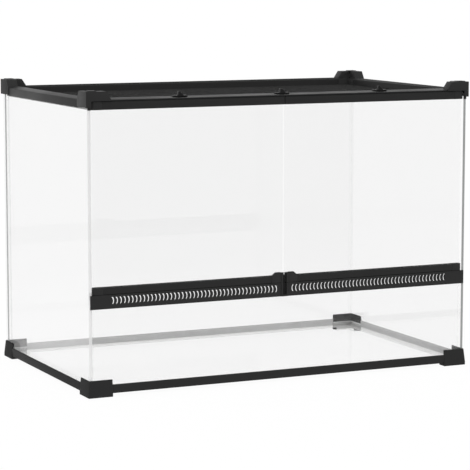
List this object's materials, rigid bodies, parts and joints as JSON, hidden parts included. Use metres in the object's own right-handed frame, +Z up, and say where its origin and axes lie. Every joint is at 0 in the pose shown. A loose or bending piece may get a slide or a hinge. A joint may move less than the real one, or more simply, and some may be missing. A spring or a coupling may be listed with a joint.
{
  "type": "reptile terrarium",
  "caption": "Front-opening glass terrarium in a black plastic frame, with two hinged doors over a slotted vent strip, a lock slide and a lift-off screen lid held by turn clips.",
  "frame": {"origin": "centre of the footprint, at the underside of the feet", "axes": "+X to the right along the front, +Y from the doors to the rear pane, +Z up"},
  "size_m": [0.5, 0.3, 0.352],
  "materials": {
    "frame_plastic": "black moulded plastic, fine satin grain",
    "door_plastic": "black extruded plastic, satin",
    "lid_plastic": "black extruded plastic, satin",
    "clip_plastic": "black moulded plastic, satin",
    "pane_glass": "clear float glass with polished edges",
    "silicone": "clear silicone bead",
    "screen_net": "black coated wire net",
    "screen_cord": "black cord",
    "pin_steel": "plain drawn wire"
  },
  "bodies": {
    "tank": {"bottom_rail_front": "frame_plastic", "bottom_rail_rear": "frame_plastic", "bottom_rail_left": "frame_plastic", "bottom_rail_right": "frame_plastic", "bottom_corner_front_left": "frame_plastic", "bottom_corner_front_right": "frame_plastic", "bottom_corner_rear_left": "frame_plastic", "bottom_corner_rear_right": "frame_plastic", "vent_strip": "frame_plastic", "hinge_bracket_left": "frame_plastic", "hinge_bracket_right": "frame_plastic", "top_rail_front": "frame_plastic", "top_rail_rear": "frame_plastic", "top_rail_left": "frame_plastic", "top_rail_right": "frame_plastic", "top_corner_front_left": "frame_plastic", "top_corner_front_right": "frame_plastic", "top_corner_rear_left": "frame_plastic", "top_corner_rear_right": "frame_plastic", "floor_glass": "pane_glass", "side_glass_left": "pane_glass", "side_glass_right": "pane_glass", "rear_glass": "pane_glass", "sill_glass": "pane_glass", "floor_seal": "silicone", "corner_seals": "silicone"},
    "left_door": {"left_door_glass": "pane_glass", "left_door_upper_rail": "door_plastic", "left_door_lower_rail": "door_plastic", "left_door_upper_knuckle": "door_plastic", "left_door_lower_knuckle": "door_plastic", "left_door_pull": "door_plastic", "left_door_meeting": "door_plastic", "left_door_pins": "pin_steel"},
    "right_door": {"right_door_glass": "pane_glass", "right_door_upper_rail": "door_plastic", "right_door_lower_rail": "door_plastic", "right_door_upper_knuckle": "door_plastic", "right_door_lower_knuckle": "door_plastic", "right_door_pull": "door_plastic", "right_door_meeting": "door_plastic", "right_door_pins": "pin_steel"},
    "lid": {"lid_rail_front": "lid_plastic", "lid_rail_rear": "lid_plastic", "lid_rail_left": "lid_plastic", "lid_rail_right": "lid_plastic", "lid_corners": "lid_plastic", "lid_screen": "screen_net", "lid_spline": "screen_cord"},
    "clip_left": {"clip_left": "clip_plastic"},
    "clip_centre": {"clip_centre": "clip_plastic"},
    "clip_right": {"clip_right": "clip_plastic"},
    "lock_slide": {"lock_slide": "clip_plastic", "lock_foot": "clip_plastic"}
  },
  "joints": [
    {"name": "left_door_hinge", "type": "hinge", "parent": "tank", "child": "left_door", "pos_m": [-0.2393, -0.1445, 0.23], "axis": [0, 0, -1], "range_deg": [0, 92]},
    {"name": "right_door_hinge", "type": "hinge", "parent": "tank", "child": "right_door", "pos_m": [0.2393, -0.1445, 0.23], "axis": [0, 0, 1], "range_deg": [0, 92]},
    {"name": "lid_lift", "type": "slide", "parent": "tank", "child": "lid", "axis": [0, 0, 1], "range_m": [0, 0.08]},
    {"name": "lock_lift", "type": "slide", "parent": "tank", "child": "lock_slide", "axis": [0, 0, 1], "range_m": [0, 0.009]},
    {"name": "clip_left_turn", "type": "hinge", "parent": "tank", "child": "clip_left", "pos_m": [-0.131, -0.1374, 0.3418], "axis": [0, 0, 1], "range_deg": [0, 90]},
    {"name": "clip_centre_turn", "type": "hinge", "parent": "tank", "child": "clip_centre", "pos_m": [0, -0.1374, 0.3418], "axis": [0, 0, 1], "range_deg": [0, 90]},
    {"name": "clip_right_turn", "type": "hinge", "parent": "tank", "child": "clip_right", "pos_m": [0.131, -0.1374, 0.3418], "axis": [0, 0, 1], "range_deg": [0, 90]}
  ]
}
